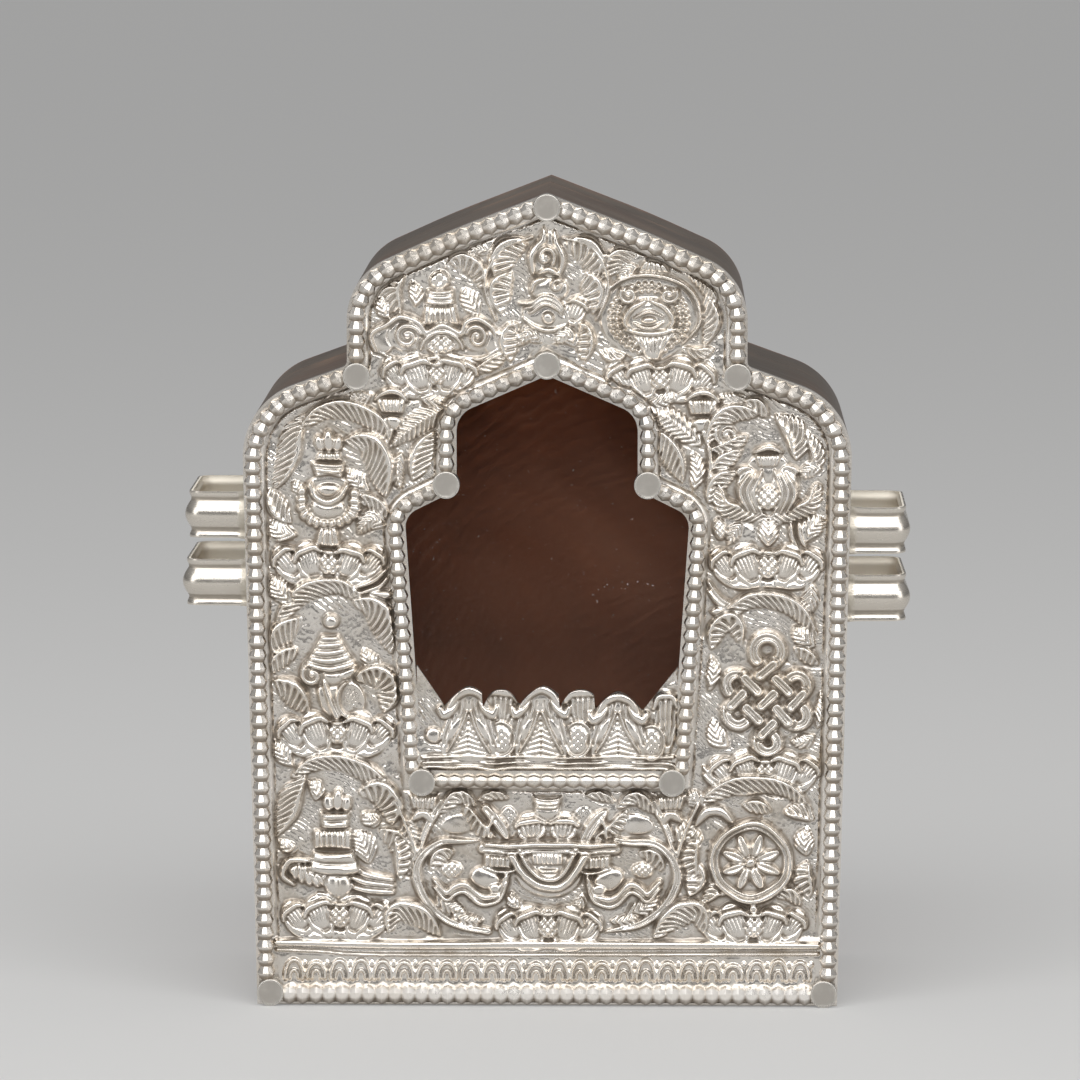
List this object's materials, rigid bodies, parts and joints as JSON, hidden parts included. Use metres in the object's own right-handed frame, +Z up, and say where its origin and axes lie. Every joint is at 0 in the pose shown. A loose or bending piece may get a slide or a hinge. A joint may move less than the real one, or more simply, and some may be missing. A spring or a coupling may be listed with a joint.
{
  "type": "ghau amulet box",
  "caption": "Portable shrine box with a stepped, pointed outline: chased silver front with beaded borders and a glazed window, copper case, strap loops, pull-off back.",
  "frame": {"origin": "middle of the flat base, at the height of the surface the box stands on", "axes": "+Z up, +X to the right seen from the front, +Y to the back; the front plate faces -Y"},
  "size_m": [0.133, 0.052, 0.15],
  "materials": {
    "chased_silver": "bright chased silver, satin and slightly dark in the hollows",
    "beaded_wire": "bright beaded silver wire",
    "stud_silver": "flat matte silver",
    "loop_silver": "satin silver, cream and matte inside",
    "window_glass": "clear flat glass",
    "aged_copper": "dull brown-grey patina with fine striations and raw edges",
    "back_copper": "dark red-brown copper with cloudy stains and arc-shaped brush marks"
  },
  "bodies": {
    "case": {"front_plate": "chased_silver", "front_rim": "chased_silver", "lotus_panel": "chased_silver", "outer_wire_bottom": "beaded_wire", "outer_wire_right": "beaded_wire", "outer_wire_top_right": "beaded_wire", "outer_wire_top_left": "beaded_wire", "outer_wire_left": "beaded_wire", "window_wire_foot": "beaded_wire", "window_wire_right": "beaded_wire", "window_wire_top_right": "beaded_wire", "window_wire_top_left": "beaded_wire", "window_wire_left": "beaded_wire", "outer_stud_tip": "stud_silver", "outer_stud_valley_right": "stud_silver", "outer_stud_valley_left": "stud_silver", "outer_stud_base_right": "stud_silver", "outer_stud_base_left": "stud_silver", "window_stud_tip": "stud_silver", "window_stud_side_right": "stud_silver", "window_stud_side_left": "stud_silver", "window_stud_foot_right": "stud_silver", "window_stud_foot_left": "stud_silver", "window_glass": "window_glass", "glass_tab_left": "stud_silver", "glass_tab_right": "stud_silver", "glass_tab_foot": "stud_silver", "glass_tab_top": "stud_silver", "case_wall": "aged_copper", "lid_sleeve": "back_copper", "strap_loop_left_upper": "loop_silver", "strap_loop_left_lower": "loop_silver", "strap_loop_right_upper": "loop_silver", "strap_loop_right_lower": "loop_silver"},
    "back_lid": {"lid_wall": "aged_copper", "lid_back_plate": "back_copper"}
  },
  "joints": [
    {"name": "back_lid_pull", "type": "slide", "parent": "case", "child": "back_lid", "axis": [0, 1, 0], "range_m": [0, 0.03]}
  ]
}
